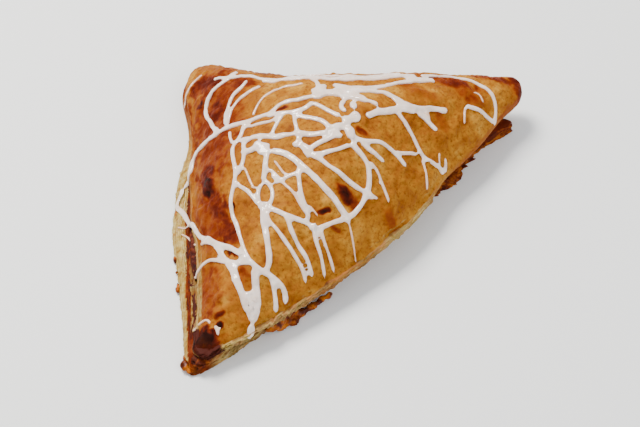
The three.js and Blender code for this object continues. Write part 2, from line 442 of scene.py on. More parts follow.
# %% Front left corner of the lid
CORNER_AT, CORNER_REACH = np.array([-48.5, -57.5]), 6.0
CORNER_PULL = np.array([-2.0, -0.7, -0.8])
points = points_of(crust)
away = np.linalg.norm(points[:, :2] - CORNER_AT, axis=1) / CORNER_REACH
pull = np.exp(-(away**2)) * step(points[:, 2], 4.0, 6.0)
set_points(crust, points + np.outer(pull, CORNER_PULL))
print("furthest the corner moved, mm:", round(float(pull.max() * np.linalg.norm(CORNER_PULL)), 2))

# %% [markdown]
# ## Baking colours
# The crust's colour comes from the oven: deep gold all over, browner on ridges and corners,
# nearly black where a thin blister burnt, pale cream where the cut layers face sideways. It could
# be painted by hand, but most of it follows the two edges, so tables by station and a list of
# patches say it more exactly. Four attributes carry it on the mesh: how toasted a point is, how
# far it is a cut face, how much syrup soaked it, and a measure that runs across the dough's
# layers and draws them as fine streaks.

# %% How pale each edge baked
# pairs of a station and how pale the cut edge is there, 0 browned and 1 cream
LID_PALE = [(0, 0.1), (0.5, 0.2), (0.95, 0.4), (1.25, 0.8), (1.5, 1), (2.25, 1), (2.45, 0.8),
            (2.6, 0.35), (2.85, 0.5), (2.95, 0.95), (3.2, 0.9), (3.3, 0.25), (3.5, 0), (6, 0)]
BASE_PALE = [(0, 0), (0.4, 0.15), (0.6, 0.7), (0.8, 1), (1.86, 1), (1.93, 0), (2.05, 0), (2.12, 0.9),
             (2.28, 0.8), (2.38, 0.1), (2.9, 0.1), (2.98, 0.7), (3.2, 0.6), (3.25, 0), (6, 0)]
# how brown the rest of each edge is, and how wide the base's pale face is on the left, in mm
LID_BROWN = [(0, 0.5), (0.1, 0.55), (0.7, 0.4), (1.65, 0.4), (1.8, 0.75), (2.02, 0.75), (2.1, 0.4),
             (3.2, 0.12), (3.4, 0.22), (4.0, 0.42), (4.3, 0.4), (6, 0.5)]
BASE_BROWN = [(0, 0.55), (0.5, 0.5), (1.9, 0.5), (1.96, 0.4), (2.04, 0.4), (2.12, 0.5),
              (2.3, 0.5), (2.5, 0.62), (4.2, 0.62), (5, 0.45), (6, 0.5)]
FACE_WIDTH = [(0.4, 1.5), (0.9, 4.5), (1.2, 4.8), (1.5, 2.6), (1.95, 1.8)]


def at_station(table, q):
    """Reads a table of pairs, a station and a value, at the stations q."""
    return np.interp(q, [place for place, _ in table], [value for _, value in table])


# %% Toast, cut face and syrup
# the corner that burnt: x, y, half-length, half-width, degrees turned
BURNT_CORNER = (-49.4, -57.4, 6.6, 5.2, 25)
TOAST = [
    # x, y, half-length, half-width, degrees the length is turned from +X, strength
    (-47.8, -1.5, 4.6, 1.9, 106, 0.88),
    (-46.5, -40.0, 15.0, 5.5, 96, 0.4),
    (-46.0, 26.0, 32.0, 10.5, 90, 0.46),
    (-45.5, -14.0, 18.0, 6.5, 108, 0.42),
    (-36.0, -44.0, 5.0, 9.0, 20, 0.26),
    (-48.5, 4.5, 4.5, 3.4, 100, 0.62),
    (-44.0, -11.5, 9.0, 2.8, 112, 0.62),
    (-40.0, -21.5, 6.5, 3.0, 112, 0.64),
    (-38.8, -13.5, 1.0, 0.7, 90, 1.0),
    (-37.5, -29.4, 3.6, 1.1, 148, 0.9),
    (-46.0, 9.0, 8.0, 3.0, 95, 0.4),
    (-46.3, 30.5, 3.4, 6.5, 0, 0.62),
    (-52.5, 38.3, 1.1, 1.1, 0, 0.85),
    (-50.0, 46.0, 7.5, 4.5, 150, 0.62),
    (-38.0, 38.5, 6.0, 3.0, 160, 0.55),
    (-57.0, 33.0, 2.2, 14.0, 0, 0.5),
    (*BURNT_CORNER, 1.0),
    (-42.4, -52.0, 1.2, 1.2, 0, 1.0),
    (-42.6, -49.2, 2.0, 0.9, 20, 0.75),
    (-2.8, -11.8, 3.0, 2.0, 140, 0.8),
    (0.5, -14.0, 2.6, 1.8, 120, 0.5),
    (-9.3, -18.0, 2.3, 0.8, 15, 0.9),
    (-5.8, -21.8, 2.4, 0.7, 170, 0.5),
    (13.0, -14.5, 3.6, 2.2, 150, 0.34),
    (34.0, 39.0, 13.0, 3.0, 172, 0.52),
    (38.0, 38.0, 5.0, 1.6, 172, 0.62),
    (24.0, 29.5, 9.0, 2.6, 165, 0.3),
    (41.0, 34.5, 6.0, 3.4, 160, 0.4),
    (58.5, 45.0, 2.6, 5.5, 20, 0.62),
    (50.0, 46.5, 9.0, 2.6, 175, 0.5),
    (30.0, 22.5, 4.0, 2.0, 120, 0.35),
    (-27.5, 14.6, 3.4, 1.3, 170, 0.45),
    (-23.0, 18.6, 2.4, 0.9, 10, 0.7),
    (3.0, 8.5, 2.6, 1.3, 150, 0.5),
    (-34.5, 8.0, 1.6, 1.2, 0, 0.6),
    (-35.0, -38.0, 3.0, 4.5, 0, 0.4),
    (18.0, 33.0, 6.0, 2.0, 175, 0.4),
]
# runs of syrup: a station, how far each spreads either way in stations, and its strength
CRUST_SYRUP = [(2.0, 0.1, 0.8), (2.45, 0.35, 0.9), (2.9, 0.3, 0.75), (3.5, 0.42, 1.0), (3.93, 0.16, 1.0)]
GROOVE_SYRUP = [(1.25, 0.62, 0.85)]
LAYER_SYRUP = [(1.98, 0.09, 0.5), (2.5, 0.38, 0.85), (2.85, 0.35, 0.7), (3.5, 0.5, 0.3), (3.95, 0.2, 0.2)]
LAYER_SLOPE = 1.3  # how much the layers lean: mm further in for each mm up


def patch(points, x, y, half_length, half_width, turned, soft=0.55):
    """1 in the middle of an oval patch, fading to 0 past its rim, with a ragged outline."""
    c, s = math.cos(math.radians(turned)), math.sin(math.radians(turned))
    dx, dy = points[:, 0] - x, points[:, 1] - y
    u = (dx * c + dy * s) / half_length
    v = (-dx * s + dy * c) / half_width
    away = np.hypot(u, v)
    near = away < 2.2
    value = np.zeros(len(points))
    ragged = np.array([noise.noise(Vector(p) / 2.2) + 0.5 * noise.noise(Vector(p)) for p in points[near]])
    value[near] = 1 - step(away[near] + 0.35 * ragged, 1 - soft, 1 + soft)
    return value


def burnt_corner(points):
    return np.clip(1.6 * patch(points, *BURNT_CORNER), 0, 1)


def runs(table, q, sharpness):
    """How much syrup ran out at each station: the most that any run in a table gives there."""
    return np.max([strength * np.clip(1 - np.abs(q - at) / wide, 0, 1) ** sharpness
                   for at, wide, strength in table], axis=0)


def set_attribute(piece, name, values):
    """Keeps one number for each point on a piece's mesh, for its material to read."""
    layer = piece.data.attributes.get(name) or piece.data.attributes.new(name, "FLOAT", "POINT")
    layer.data.foreach_set("value", np.ascontiguousarray(values, dtype=np.float32))


points = points_of(crust)
normals = normals_of(crust)
station, inset_lid, inset_base = place_of(points)
toast = np.zeros(len(points))
for x, y, half_length, half_width, turned, strength in TOAST:
    toast = np.maximum(toast, strength * patch(points, x, y, half_length, half_width, turned))
toast *= step(points[:, 2], 5.5, 8.0)

under_here, top_here = lid_underside(station), lid_top(station)
seam = step(station, 0.12, 0.4) * (1 - step(station, 3.85, 4.05))
side_face = step(-normals[:, 2], -0.62, -0.2)
lid_cut = (points[:, 2] > under_here - 0.8) & (points[:, 2] < top_here + 0.6) & (inset_lid < 3.2)
base_cut = (points[:, 2] < 5.2) & (inset_base < 7) & (points[:, 2] > 0.35)
face = base_cut & ((station > 2) | (inset_base < at_station(FACE_WIDTH, station)))
strip = (normals[:, 2] > -0.2) & (station > 1.0) & (station < 2) & (points[:, 2] > under_here - 0.5)
strip_pale = np.where(strip, (1 - step(inset_lid, 2.0, 2.8)) * step(station, 1.3, 1.5), 0)
strip_pale *= 1 - step(-points[:, 1], 48.5, 50.5)
burnt = burnt_corner(points) * step(points[:, 2], 5.0, 6.0)
cut = np.where(lid_cut, side_face * at_station(LID_PALE, station), 0)
cut = np.maximum(cut, np.where(face, at_station(BASE_PALE, station), 0)) * seam
cut = np.maximum(cut, 0.9 * strip_pale) * (1 - 0.92 * burnt)
lid_brown = at_station(LID_BROWN, station) * np.where(lid_cut, side_face, 0)
base_brown = at_station(BASE_BROWN, station) * (1 - step(points[:, 2], 5.0, 6.5))
toast = np.maximum(toast, lid_brown * (1 - cut))
toast = np.maximum(toast, 0.9 * burnt)
toast = np.maximum(toast, base_brown * (1 - cut))
low = 1 - step(points[:, 2], 7.0, 9.5)
groove = runs(GROOVE_SYRUP, station, 0.5) * step(inset_base, 4.2, 6.0)
syrup = low * np.maximum(runs(CRUST_SYRUP, station, 0.5), groove)
syrup = np.where(points[:, 2] > 0.3, syrup, syrup * 0.4)
set_attribute(crust, "toast", toast)
set_attribute(crust, "cut", cut)
set_attribute(crust, "syrup", syrup)
set_attribute(crust, "strata", inset_base + LAYER_SLOPE * points[:, 2])
print("toasted, cut and soaked points:", [int((a > 0.5).sum()) for a in (toast, cut, syrup)])

# %% [markdown]
# ## The flaky layers
# Puff pastry is a stack of sheets as thin as card, and at a cut edge each one ends by itself,
# torn, curled and a little longer or shorter than its neighbours. Each layer here is a grid
# whose two directions become the way along the edge and the way into the crust. Noise tears its
# outer rim, and a Solidify modifier gives it thickness. Loop cuts pulled about by hand would give
# a few good layers, but not twenty that all differ. All layers are joined into one piece. Its
# attributes say how near the torn rim a point is, how dark its own layer baked, how pale the edge
# is there, and where syrup soaked it.

# %% One layer
ACROSS = 5  # points from a layer's rim to its inner side
ALONG = 0.4  # mm between points along the rim
THICKNESS = 0.24  # mm


def wander(s, size, seed):
    """Noise between about -1 and 1 along a length s in mm."""
    return np.array([noise.noise(Vector((v / size, seed * 7.31, 0.5))) * 1.6 for v in s])


def stations_along(sheet, first, last, spacing):
    """Stations at even spacings in mm along a sheet's edge."""
    q = np.linspace(first, last, 800)
    line = edge(sheet, q)
    s = np.concatenate([[0], np.cumsum(np.linalg.norm(np.diff(line, axis=0), axis=1))])
    count = max(3, int(s[-1] / spacing))
    even = np.linspace(0, s[-1], count)
    return np.interp(even, s, q), even


def layer(sheet, first, last, rim_inset, depth, height, rise, ragged, seed):
    """One torn layer between two stations of a sheet, in mm.

    rim_inset, height and ragged are functions of the station: how far in its rim starts, its
    level there, and how torn it is. depth is how far it goes into the crust, and rise how much
    higher it is in there.
    """
    q, s = stations_along(sheet, first, last, ALONG)
    bpy.ops.mesh.primitive_grid_add(x_subdivisions=len(q) - 1, y_subdivisions=ACROSS - 1, size=1)
    piece = bpy.context.object
    grid = points_of(piece) * MM
    column = np.round((grid[:, 0] + 0.5) * (len(q) - 1)).astype(int)
    row = grid[:, 1] + 0.5
    torn = 0.5 * wander(s, 4.0, seed) + 0.35 * wander(s, 1.3, seed + 1) + 0.25 * wander(s, 0.7, seed + 9)
    torn -= 0.9 * np.maximum(wander(s, 1.8, seed + 2) - 0.25, 0)
    ends = step(s, 0, 5) * step(s[-1] - s, 0, 5)
    rim = rim_inset(q) + ragged(q) * torn + (1 - ends) * 2.0
    wave = 0.12 * wander(s, 3.0, seed + 3) + 0.07 * wander(s, 1.2, seed + 4)
    inset = rim[column] + depth * row
    level = height(q) + wave * (0.4 + ragged(q))
    curl = 0.14 * wander(s, 1.9, seed + 5) * ragged(q)
    z = level[column] + rise * row + curl[column] * (1 - row) ** 2
    xy = edge(sheet, q[column], inset)
    set_points(piece, np.column_stack([xy, np.maximum(z, 0.3)]))
    set_attribute(piece, "tip", 1 - row)
    set_attribute(piece, "shade", np.full(len(grid), layer_tones.random()))
    apply_modifier(piece, "SOLIDIFY", thickness=THICKNESS * MM, offset=0)
    return piece


# %% Layers of the lid and of the base
layer_tones = random.Random(5)
# how ragged the layers are, and how far their rims stand out past the sheet, in mm, by station
LID_RAGGED = [(0.1, 0.25), (1.2, 0.3), (1.95, 0.6), (2.05, 1.7), (2.4, 1.6), (2.55, 0.9),
              (2.9, 0.5), (3.3, 0.4), (3.5, 0.2), (4.1, 0.2)]
LID_OUT = [(0.1, -0.4), (1.0, -0.15), (1.3, 0.1), (1.7, 0.25), (1.86, 1.6), (1.97, 1.8),
           (2.1, 1.2), (2.4, 0.8), (2.7, 0.15), (3.2, 0.2), (3.4, -0.5), (4.1, -0.6)]
FRONT_OUT = [(1.9, 0), (2.3, 0.2), (3.1, 0), (3.3, 0.3), (3.42, 1.2), (3.5, 1.4), (3.56, 1.0),
             (3.63, 0.4), (3.8, 0.2), (4.0, 0.3), (4.1, 0)]
FRONT_RAGGED = [(1.9, 0.7), (2.2, 1.2), (2.6, 1.3), (3.2, 0.8), (3.4, 1.5), (3.9, 1.3), (4.1, 0.8)]
LEFT_RAGGED = [(0.42, 0.55), (2.12, 0.55)]
LEFT_OUT = [(0.42, 0.0), (2.12, 0.0)]


def lid_level(q, share):
    """The level in mm of a layer a share of the way up through the lid's lip."""
    return lid_underside(q) + 0.3 + around(LIP_THICKNESS, q) * 0.72 * share


def left_level(q, share):
    return np.full(len(q), 0.7 + 4.0 * share**0.8)


def front_level(q, share):
    return np.full(len(q), 0.6 + 3.6 * share)


STACKS = [
    # sheet, first and last station, number of layers, how far in the lowest rim starts and the
    # top one steps back from it, depth, level, rise, seed, how far out the rims stand, how ragged
    (LID, 0.1, 3.6, 6, 0.45, 0.0, 2.4, lid_level, 0.15, 10, LID_OUT, LID_RAGGED),
    (BASE, 0.42, 2.12, 9, 0.1, 5.4, 2.2, left_level, 0.2, 100, LEFT_OUT, LEFT_RAGGED),
    (BASE, 1.95, 4.1, 6, 0.3, 1.0, 3.0, front_level, 0.25, 200, FRONT_OUT, FRONT_RAGGED),
]
layers = []
for stack in STACKS:
    sheet, first, last, count, start, step_back, depth, level, rise, seed, out, torn = stack
    for k in range(count):
        share = k / (count - 1)
        layers.append(
            layer(
                sheet, first, last,
                rim_inset=lambda q: start + step_back * share - at_station(out, q),
                depth=depth, height=lambda q: level(q, share), rise=rise,
                ragged=lambda q: at_station(torn, q), seed=seed + 6 * k,
            )
        )
active(*layers)
bpy.ops.object.join()
flakes = bpy.context.object
flakes.name = "flaky_layers"
bpy.ops.object.shade_smooth()
points = points_of(flakes)
station, inset_lid, inset_base = place_of(points)
low = 1 - step(points[:, 2], 5.0, 7.5)
set_attribute(flakes, "syrup", low * runs(LAYER_SYRUP, station, 0.4))
above = step(points[:, 2], 4.6, 5.2)
pale = at_station(LID_PALE, station) * above + at_station(BASE_PALE, station) * (1 - above)
beyond = (station < 1.97) & (points[:, 2] < 5.0) & (inset_base > at_station(FACE_WIDTH, station))
burnt = burnt_corner(points) * above
pale *= 1 - 0.9 * burnt * step(-points[:, 1], 50, 52)
set_attribute(flakes, "pale", np.where(beyond, 0, pale))
set_attribute(flakes, "soaked", np.maximum(beyond, burnt > 0.2).astype(float))
set_attribute(flakes, "strata", inset_base + LAYER_SLOPE * points[:, 2])
print("layers:", len(layers), "triangles:", triangles(flakes))

# %% [markdown]
# ## The syrup
# Fruit filling boils over where the seam is open, runs down the cut edge and sets to a glossy
# lump: amber where it is thin, dark red where it is thick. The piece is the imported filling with
# small lumps that ran out by themselves, all remeshed finely into one skin and made lumpy.

# %% Filling and lumps
LUMPS = [
    # x, y, z, then half-sizes along the edge, across it and up, in mm
    (-25.8, -45.8, 1.9, 2.6, 1.6, 1.3),
    (-22.6, -44.8, 1.7, 2.8, 2.0, 1.4),
    (-19.4, -43.2, 1.6, 2.2, 2.0, 1.2),
    (-21.5, -42.6, 3.2, 4.2, 1.6, 1.3),
    (-16.6, -40.6, 2.0, 2.4, 1.4, 1.3),
    (-13.4, -38.2, 2.4, 2.6, 1.3, 1.2),
    (-10.4, -36.0, 2.6, 2.2, 1.1, 1.0),
    (-7.6, -34.2, 2.8, 1.6, 0.9, 0.9),
    (-59.3, 0.6, 1.1, 1.6, 0.7, 0.8),
    (-59.5, -8.0, 0.9, 1.0, 0.5, 0.6),
    (-58.9, -18.4, 1.0, 1.5, 0.7, 0.7),
    (-57.9, -24.0, 0.9, 1.0, 0.5, 0.6),
    (-57.2, -30.2, 1.1, 2.2, 0.9, 0.8),
    (-53.2, -60.6, 1.7, 1.8, 1.5, 1.2),
    (-51.8, -62.0, 1.2, 1.5, 1.1, 0.9),
    (-53.6, -57.6, 1.2, 1.4, 0.8, 0.8),
]
filling = copy_of("filling", "filling_and_syrup")
pieces = [filling]
for x, y, z, long_half, wide_half, high_half in LUMPS:
    station = place_of(np.array([[x, y, z]]))[0][0]
    (x0, y0), (x1, y1) = edge(BASE, station - 0.02)[0], edge(BASE, station + 0.02)[0]
    bpy.ops.mesh.primitive_ico_sphere_add(
        subdivisions=3, radius=MM, location=(x * MM, y * MM, z * MM),
        scale=(long_half, wide_half, high_half), rotation=(0, 0, math.atan2(y1 - y0, x1 - x0)),
    )
    pieces.append(bpy.context.object)
active(*pieces)
bpy.ops.object.join()
apply_modifier(filling, "REMESH", mode="VOXEL", voxel_size=0.42 * MM)
apply_modifier(filling, "SMOOTH", factor=0.5, iterations=3)
whole = filling.vertex_groups.new(name="whole")
whole.add(list(range(len(filling.data.vertices))), 1.0, "REPLACE")
roughen(filling, "lumps", "CLOUDS", 2.6, 1.1, "whole", noise_depth=1)
roughen(filling, "crumbs", "STUCCI", 1.0, 0.45, "whole", turbulence=4)
points = points_of(filling)
points[:, 2] = np.maximum(points[:, 2], 0.15)
set_points(filling, points)
active(filling)
bpy.ops.object.shade_smooth()
station, inset_lid, inset_base = place_of(points)
left_crumb = (station < 1.99) & (inset_base < 1.2)
set_attribute(filling, "thin", np.maximum(step(-inset_base, 1.0, 4.5), left_crumb))
in_groove = (station > 0.4) & (station < 1.99) & (inset_base > 2.0)
print("filling triangles:", triangles(filling))

# %% [markdown]
# ## The icing
# Thin icing was drizzled from a moving spoon, in long crossing strings that ran together into a
# web near the top of the dome. Each string is a line of places in plan, in millimetres, and a
# ray shot down from above finds where it lies on the crust. A bevelled curve with its own radius
# at each point makes the tubes. They start a little fatter than the strings are, so that a Remesh
# modifier joins them where they cross, and a Displace modifier takes the extra off again. The
# strings are listed by where they lie.

# %% Strings over the back left corner
# each string: its width in mm, then its places (x, y), or (x, y, z) where it hangs free
STRINGS = [
    (1.1, [(-51, 53), (-53.5, 52), (-55.5, 50), (-57.5, 47), (-58.5, 44)]),
    (1.8, [(-38, 46), (-40.5, 44), (-43.5, 41.5), (-46, 40.3), (-48, 39), (-49, 36.5), (-49, 33),
           (-47.5, 28.5), (-46, 24), (-44, 19.5)]),
    (1.5, [(-34.5, 39), (-36.7, 35.5), (-39, 34), (-40.2, 32), (-41, 29), (-41.7, 25.5),
           (-41.5, 21)]),
    (1.3, [(-29.7, 35), (-32.2, 33.3), (-34.5, 32), (-36.7, 31), (-38.7, 29), (-40, 26.4),
           (-40.6, 23), (-41, 20)]),
    (1.1, [(-15, 31), (-20.5, 30.7), (-24.3, 30), (-26.7, 28.7), (-29.3, 26.3), (-31, 23.7),
           (-32.3, 20)]),
    (1.6, [(-47, 46), (-43, 44), (-38, 42.3), (-33, 40.6), (-28, 39), (-23, 38.2), (-18, 37.6),
           (-12, 37), (-6, 36.6), (0, 36.6), (6, 37), (12, 38), (18, 39)]),
    (2.0, [(-30, 38), (-25, 37), (-20, 36), (-15, 35), (-10, 33.5), (-5, 33.8), (0, 34.4),
           (6, 35), (12, 36), (18, 37.4), (23, 38.4)]),
    (1.6, [(-13, 34), (-11, 31), (-10.5, 28), (-10.5, 24)]),
]

# %% The long main string and the left-hand drips
STRINGS += [
    (2.1, [(-24, 19.3), (-26, 18.2), (-28.8, 17.8), (-31.3, 18), (-33.8, 18), (-36.4, 18.4),
           (-40, 19), (-43, 19.4), (-45.6, 19.2), (-48.5, 19.2), (-50.7, 19.4), (-52.2, 18.8),
           (-53.2, 17.4), (-53.6, 15.3), (-54, 13), (-55, 11), (-56.5, 9.6)]),
    (1.9, [(-56.5, 9.6), (-58, 7.4, 6.0), (-58.9, 5, 4.6), (-58.6, 3), (-57, 0.6), (-55.5, -2),
           (-54, -5.8), (-52, -9.8), (-50.3, -13.3), (-48.6, -16.4), (-46.4, -19.6), (-43.7, -23),
           (-40.4, -25.6), (-37.5, -28.2), (-34.6, -31.2), (-32.4, -33.6), (-30.6, -35.2),
           (-28.6, -36.5), (-26.5, -37), (-24.6, -37.8), (-23, -38.6), (-21.4, -39.7),
           (-20.8, -41.5), (-21, -43.4)]),
    (1.8, [(-44, -23.4), (-42.4, -26), (-40.9, -28.6), (-39.6, -30.6), (-38.6, -31.8)]),
    (1.1, [(-49.2, -18.4), (-46.3, -21.4), (-44, -23.6), (-42.4, -26.8), (-41, -29.6)]),
    (1.3, [(-39.5, -31.5), (-42.2, -29.4), (-45.6, -27.8), (-47.6, -27.6), (-49.2, -28),
           (-49.9, -28.8), (-51, -29.6)]),
    (0.9, [(-56.5, -9.5), (-54, -12), (-52, -15), (-50.4, -18)]),
    (0.8, [(-58, -6), (-56, -7.4), (-54.4, -8.6)]),
    (3.2, [(-40, -31), (-38.6, -32.8), (-37.4, -34.8), (-36.8, -37.5), (-36, -40.5)]),
    (1.9, [(-39.6, -31.4), (-37.4, -32.8), (-35.4, -33.6), (-33, -34), (-31.6, -34.6)]),
    (2.4, [(-36.6, -38.5), (-35, -42), (-33.8, -45), (-32.6, -48)]),
    (2.6, [(-30.8, -35.6), (-30.4, -38), (-30.2, -41), (-29.6, -44), (-29.6, -47)]),
    (4.6, [(-33.4, -42.4), (-32, -44), (-31.2, -46.4), (-31, -48.6), (-31.2, -50.4)]),
    (2.4, [(-31.2, -50), (-31.6, -52, 9.6), (-31.8, -53.3, 7.6), (-31.6, -54, 5.6)]),
    (1.4, [(-31.6, -53.8, 5.8), (-31.2, -54.6, 4.8), (-30.6, -55, 4.4)]),
    (1.7, [(-25.6, -37.2), (-24.7, -39.4), (-24.3, -41.4), (-23.9, -43.6), (-24, -46)]),
    (1.0, [(-50.8, -49.8), (-48.8, -49), (-46.6, -48.9), (-44.8, -50), (-44.4, -51.6)]),
    (1.3, [(-43.2, -51.6), (-42, -53.4), (-41.9, -55)]),
    (1.0, [(-41.6, -52.6), (-40.8, -53.2)]),
]

# %% The web on top of the dome
STRINGS += [
    (1.7, [(-26.4, 18.3), (-24.3, 20), (-21.4, 21), (-18, 21.6), (-14.8, 22), (-12.3, 23.2)]),
    (1.7, [(-27.5, 17.4), (-23.4, 16.3), (-19.7, 16), (-16.5, 16.6), (-14, 17.8), (-12, 20.4)]),
    (1.4, [(-34.6, 16.2), (-33, 15.2), (-30.5, 14.4), (-28, 14), (-25, 13.9), (-22, 15.6)]),
    (1.5, [(-22, 15.6), (-23.8, 12.3), (-25, 10), (-25.8, 7.6)]),
    (1.4, [(-18.4, 15.6), (-18.2, 13), (-17.8, 10.4), (-17, 7)]),
    (1.8, [(-18, 15), (-14, 13.4), (-10.7, 12.2), (-7.8, 9.8), (-6.4, 7)]),
    (1.7, [(-12.3, 19.6), (-10, 18), (-7.4, 16.2), (-5, 14.4), (-3, 13)]),
    (1.9, [(-34, 8.6), (-30.6, 8.4), (-28.5, 8), (-25.4, 7), (-22.1, 6.9), (-19.2, 7), (-16.4, 7),
           (-14, 6.4), (-10.7, 6), (-7.2, 6.4)]),
    (1.6, [(-35.3, 17), (-35.6, 13.6), (-37, 10.6), (-38.3, 8.6), (-38.6, 6), (-38.1, 2.5),
           (-37.5, -1), (-37.4, -4), (-38, -7.5), (-38.5, -10), (-38.6, -12.9), (-38, -16.3),
           (-36.7, -19.9), (-35.5, -24.3), (-34.6, -27.5), (-33.5, -31), (-32, -33.8)]),
    (1.3, [(-40, 17), (-39.6, 13.4), (-38.6, 9.6)]),
    (2.4, [(-36.4, 10.4), (-34.4, 8.8), (-32, 8)]),
    (1.6, [(-35, 8.6), (-34.8, 6), (-34.6, 3), (-35, 0), (-36, -2.6), (-37.2, -3.6)]),
    (2.0, [(-36, 4.4), (-33, 3.4), (-30, 3.6)]),
    (0.9, [(-34.6, -1.6), (-33.4, -4.4), (-32.2, -7.7), (-31, -10.4)]),
    (3.4, [(-31.4, 5.8), (-29.8, 4.4), (-27.6, 3.4), (-26, 4.6)]),
    (2.6, [(-30.6, 2.6), (-28, 1.6), (-25.6, 1.8)]),
    (1.9, [(-26.9, 1), (-27.4, -1.8), (-27.6, -4.4), (-27.9, -6.9), (-28.4, -8.6)]),
    (1.5, [(-28.4, -8.6), (-29.6, -10.6), (-29.9, -12.6), (-29.2, -15)]),
    (1.5, [(-28, -8), (-26.2, -9.4), (-25.1, -12), (-25.2, -15), (-26.4, -17)]),
    (2.3, [(-26, 2), (-24.6, 1.5), (-22.4, 0.9), (-20.2, -0.3), (-18, -2.1), (-16.3, -4),
           (-14.7, -5.8), (-12.4, -7.9), (-10.2, -10), (-7.9, -12), (-5.8, -13.5),
           (-4.2, -15.2), (-2.6, -16.6), (-1, -18)]),
    (0.9, [(-24.9, -1.7), (-22.9, -4.4), (-21.3, -6.7), (-19.6, -7.4)]),
    (1.1, [(-26.3, -4.2), (-24, -6.8), (-22, -9.2), (-20, -11.8), (-17.9, -14.1), (-16.3, -17),
           (-14, -19.6)]),
    (1.4, [(-25, -9.4), (-23, -9), (-20.8, -8.2), (-18.6, -7.2), (-16.4, -6.8)]),
    (1.5, [(-25.6, -6), (-23.4, -8.6), (-22.4, -9.4)]),
    (3.0, [(-16.4, 3.4), (-14.6, 1.4), (-13.4, -0.4), (-13.8, -2.4)]),
    (2.4, [(-19.2, 3.6), (-17.4, 3.2), (-15.8, 2.6)]),
    (1.6, [(-17.4, 6.2), (-16.6, 4.4), (-15.4, 2.4)]),
    (1.8, [(-13.4, 0.6), (-11.4, 2), (-9, 3.2), (-6.6, 4.2), (-4.4, 5.2)]),
    (1.6, [(-12.6, -1.4), (-9.9, -1.2), (-7.4, -0.5), (-5, 0), (-3.4, 0.6), (-1.6, 1.9),
           (0.2, 2.6)]),
    (1.7, [(-13, -1.2), (-11, -2.3), (-9, -3.6), (-7, -5.2), (-4.6, -6.5), (-1.8, -7.7),
           (0.7, -8.7), (3.1, -9.4), (5, -9.7)]),
    (1.6, [(-16.7, -4.6), (-16.6, -8.6), (-16.4, -11), (-15.9, -13.8), (-15, -16.3),
           (-14.2, -18.4), (-13.2, -21)]),
    (0.8, [(-13.8, -16.6), (-11.8, -18.1), (-10.3, -20)]),
]

# %% Pools and strings right of the crown
STRINGS += [
    (3.8, [(-12, 21.4), (-10.6, 23.2), (-8.4, 24.6), (-5, 25), (-2, 24)]),
    (2.2, [(-11, 25.6), (-9.6, 27.4), (-7.4, 29)]),
    (2.0, [(-12.4, 27.2), (-11.4, 25.2), (-11.6, 22.6)]),
    (3.2, [(-2.6, 24), (-1.2, 22), (-1.4, 20.4)]),
    (3.0, [(-0.6, 23.6), (2, 22.6), (4.4, 21.4), (5.6, 19.8)]),
    (1.8, [(5, 21), (7.4, 20.6), (9.6, 19.4)]),
    (1.8, [(-1.6, 21), (-3, 18.4), (-2.6, 16.4), (-1, 15)]),
    (2.6, [(0.6, 20.6), (1.2, 18), (1.4, 16)]),
    (4.6, [(-0.6, 13.6), (1.6, 13.2), (3.8, 13.6)]),
    (3.4, [(-1.8, 13.6), (-1, 11), (-0.4, 9)]),
    (2.6, [(-6.2, 8), (-4, 8.6), (-1.8, 9.2)]),
    (2.4, [(-6.8, 6.4), (-4.6, 5.2), (-2.2, 5.6)]),
    (3.4, [(-0.8, 9.4), (0, 6.8), (0.4, 4)]),
    (2.0, [(-6, 30), (-2.5, 28.6), (0.7, 27.9), (5, 28.4), (9.4, 29.7), (13.5, 31.2),
           (17.8, 33.6), (22, 35.6)]),
    (2.7, [(20.5, 35.2), (24.2, 36.6), (27.5, 37.3), (29.6, 36.9)]),
    (2.0, [(-6, 27), (-2, 26), (3.4, 25.6), (7, 26.5), (11, 26.6), (13.5, 25.5), (15.5, 24.5),
           (17.7, 23.3), (20, 22.8), (24.3, 23.6), (27.5, 24.8), (30.4, 25.4), (33.4, 26)]),
    (1.6, [(14, 25.4), (16, 22.6), (17, 21.4)]),
    (2.6, [(5, 14), (6.9, 15.4), (9.2, 17.2), (11.7, 18.2), (14.6, 19.8), (17.5, 21.2),
           (20.2, 21.6), (22.3, 21.7)]),
    (1.7, [(22.3, 21.7), (24.9, 21), (26.2, 20.2), (28, 19), (29.6, 17.6)]),
    (1.0, [(24.3, 23.4), (26, 23), (26.8, 21.4), (26.2, 20.2)]),
    (1.5, [(24, 39.4), (28, 40.6), (32, 42), (36, 42.6), (39.7, 42.2), (43, 41.3), (45.6, 40.3),
           (48, 38.9), (49.6, 37), (50.4, 35.4), (50.6, 33.3), (50.3, 31.3), (50.1, 29.8)]),
    (1.6, [(39.4, 30.2), (42.8, 30.5), (45.5, 30.6), (48, 30.3), (50.1, 30)]),
    (1.0, [(39.5, 30), (39.1, 27), (39, 23.6)]),
    (0.8, [(42, 35.6), (44, 36), (45.4, 34.4), (46.1, 33)]),
    (1.5, [(14.8, 20.4), (16.2, 18.8), (17.6, 17.3), (19.7, 15), (21.7, 12.6), (23.6, 9.8),
           (25.8, 8.6), (28.4, 8.5), (30.4, 8.3)]),
    (2.4, [(29.6, 8.8), (31.2, 8.1), (32, 8.6)]),
    (1.3, [(31.8, 8.2), (32.4, 10.3), (32.1, 12.7)]),
    (0.9, [(30.2, 8.5), (30, 10.6), (30.1, 12.8)]),
    (1.1, [(24, 8.6), (24.7, 6.5), (25.3, 4), (25.6, 1.5), (25.6, -0.6)]),
]

